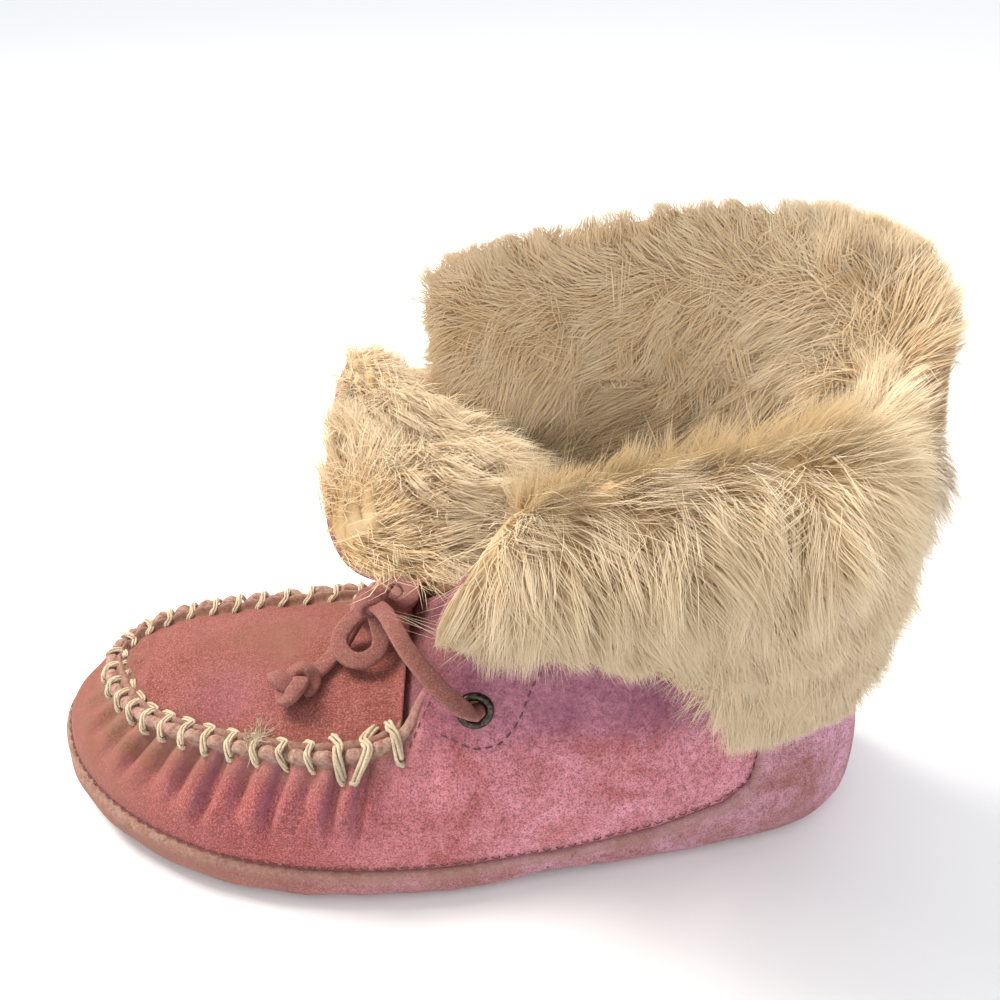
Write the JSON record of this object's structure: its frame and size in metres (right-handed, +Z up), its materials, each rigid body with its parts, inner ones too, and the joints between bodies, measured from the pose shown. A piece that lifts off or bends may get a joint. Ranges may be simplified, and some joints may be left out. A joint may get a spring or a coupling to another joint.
{
  "type": "mukluk_boot",
  "caption": "Left moccasin-style slipper boot in pink suede with a gathered apron toe, a long cream pile lining folded out as a collar, metal eyelets and a suede lace tied in a bow",
  "frame": {"origin": "on the ground, under half the length of the sole; y = 0 is the heel's middle line to within 3 mm", "axes": "-X to the toe, -Y to the boot's outer side, which is turned to the camera, +Z up"},
  "size_m": [0.2454, 0.1032, 0.1504],
  "materials": {
    "upper_suede": "napped suede, dusty at the seams",
    "apron_suede": "napped suede with faint speckles",
    "tongue_suede": "napped suede",
    "collar_suede": "napped suede",
    "sole_suede": "worn suede, soiled at the edge",
    "lining_pile": "dense short pile",
    "cuff_pile": "long soft pile in locks",
    "tongue_pile": "long soft pile in locks",
    "gunmetal": "dark plated, worn",
    "lace_suede": "napped suede strip"
  },
  "bodies": {
    "root": {"outsole": "sole_suede", "insole": "lining_pile", "upper": "upper_suede", "apron": "apron_suede", "tongue": "tongue_suede", "fur_tongue": "tongue_pile", "shaft": "collar_suede", "fur_cuff": "cuff_pile", "eyelet_lateral": "gunmetal", "eyelet_medial": "gunmetal", "lace_bar_lateral": "lace_suede", "lace_bar_medial": "lace_suede", "lace_knot": "lace_suede", "lace_loop_near": "lace_suede", "lace_loop_far": "lace_suede", "lace_end_near": "lace_suede", "lace_end_far": "lace_suede", "lace_tip": "lace_suede"}
  },
  "joints": []
}
